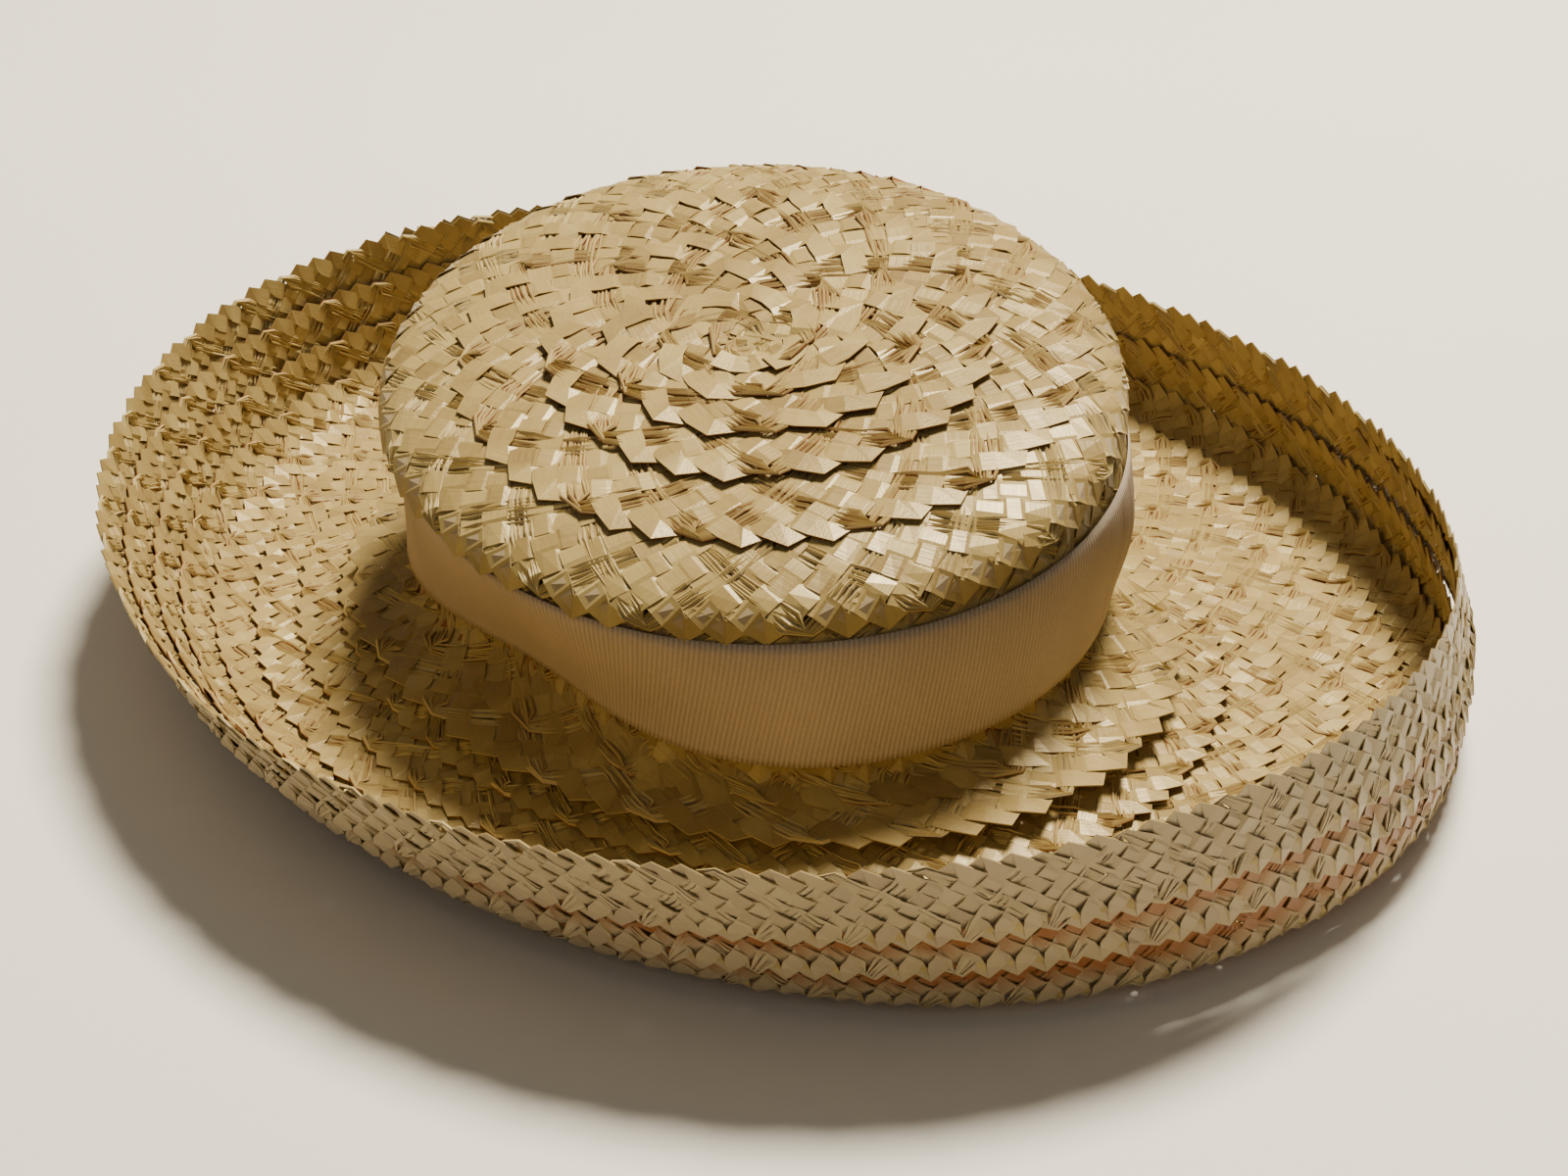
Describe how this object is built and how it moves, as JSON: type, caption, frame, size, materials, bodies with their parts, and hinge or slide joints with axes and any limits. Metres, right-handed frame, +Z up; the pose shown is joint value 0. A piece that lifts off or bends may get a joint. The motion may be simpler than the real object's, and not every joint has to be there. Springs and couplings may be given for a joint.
{
  "type": "upturned-brim straw hat",
  "caption": "Sewn straw-braid hat with a round, almost flat crown, a plain ribbon band and a brim turned up all round, worn on the head.",
  "frame": {"origin": "middle of the overall box, on the surface the hat stands on", "axes": "+Z up through the crown; the front of the hat faces -Y and its left side -X"},
  "size_m": [0.2797, 0.3098, 0.0795],
  "materials": {
    "straw_braid": "satin",
    "ribbon": "matte"
  },
  "bodies": {
    "root": {"crown_tip": "straw_braid", "crown_side": "straw_braid", "brim": "straw_braid", "hat_band": "ribbon"}
  },
  "joints": []
}
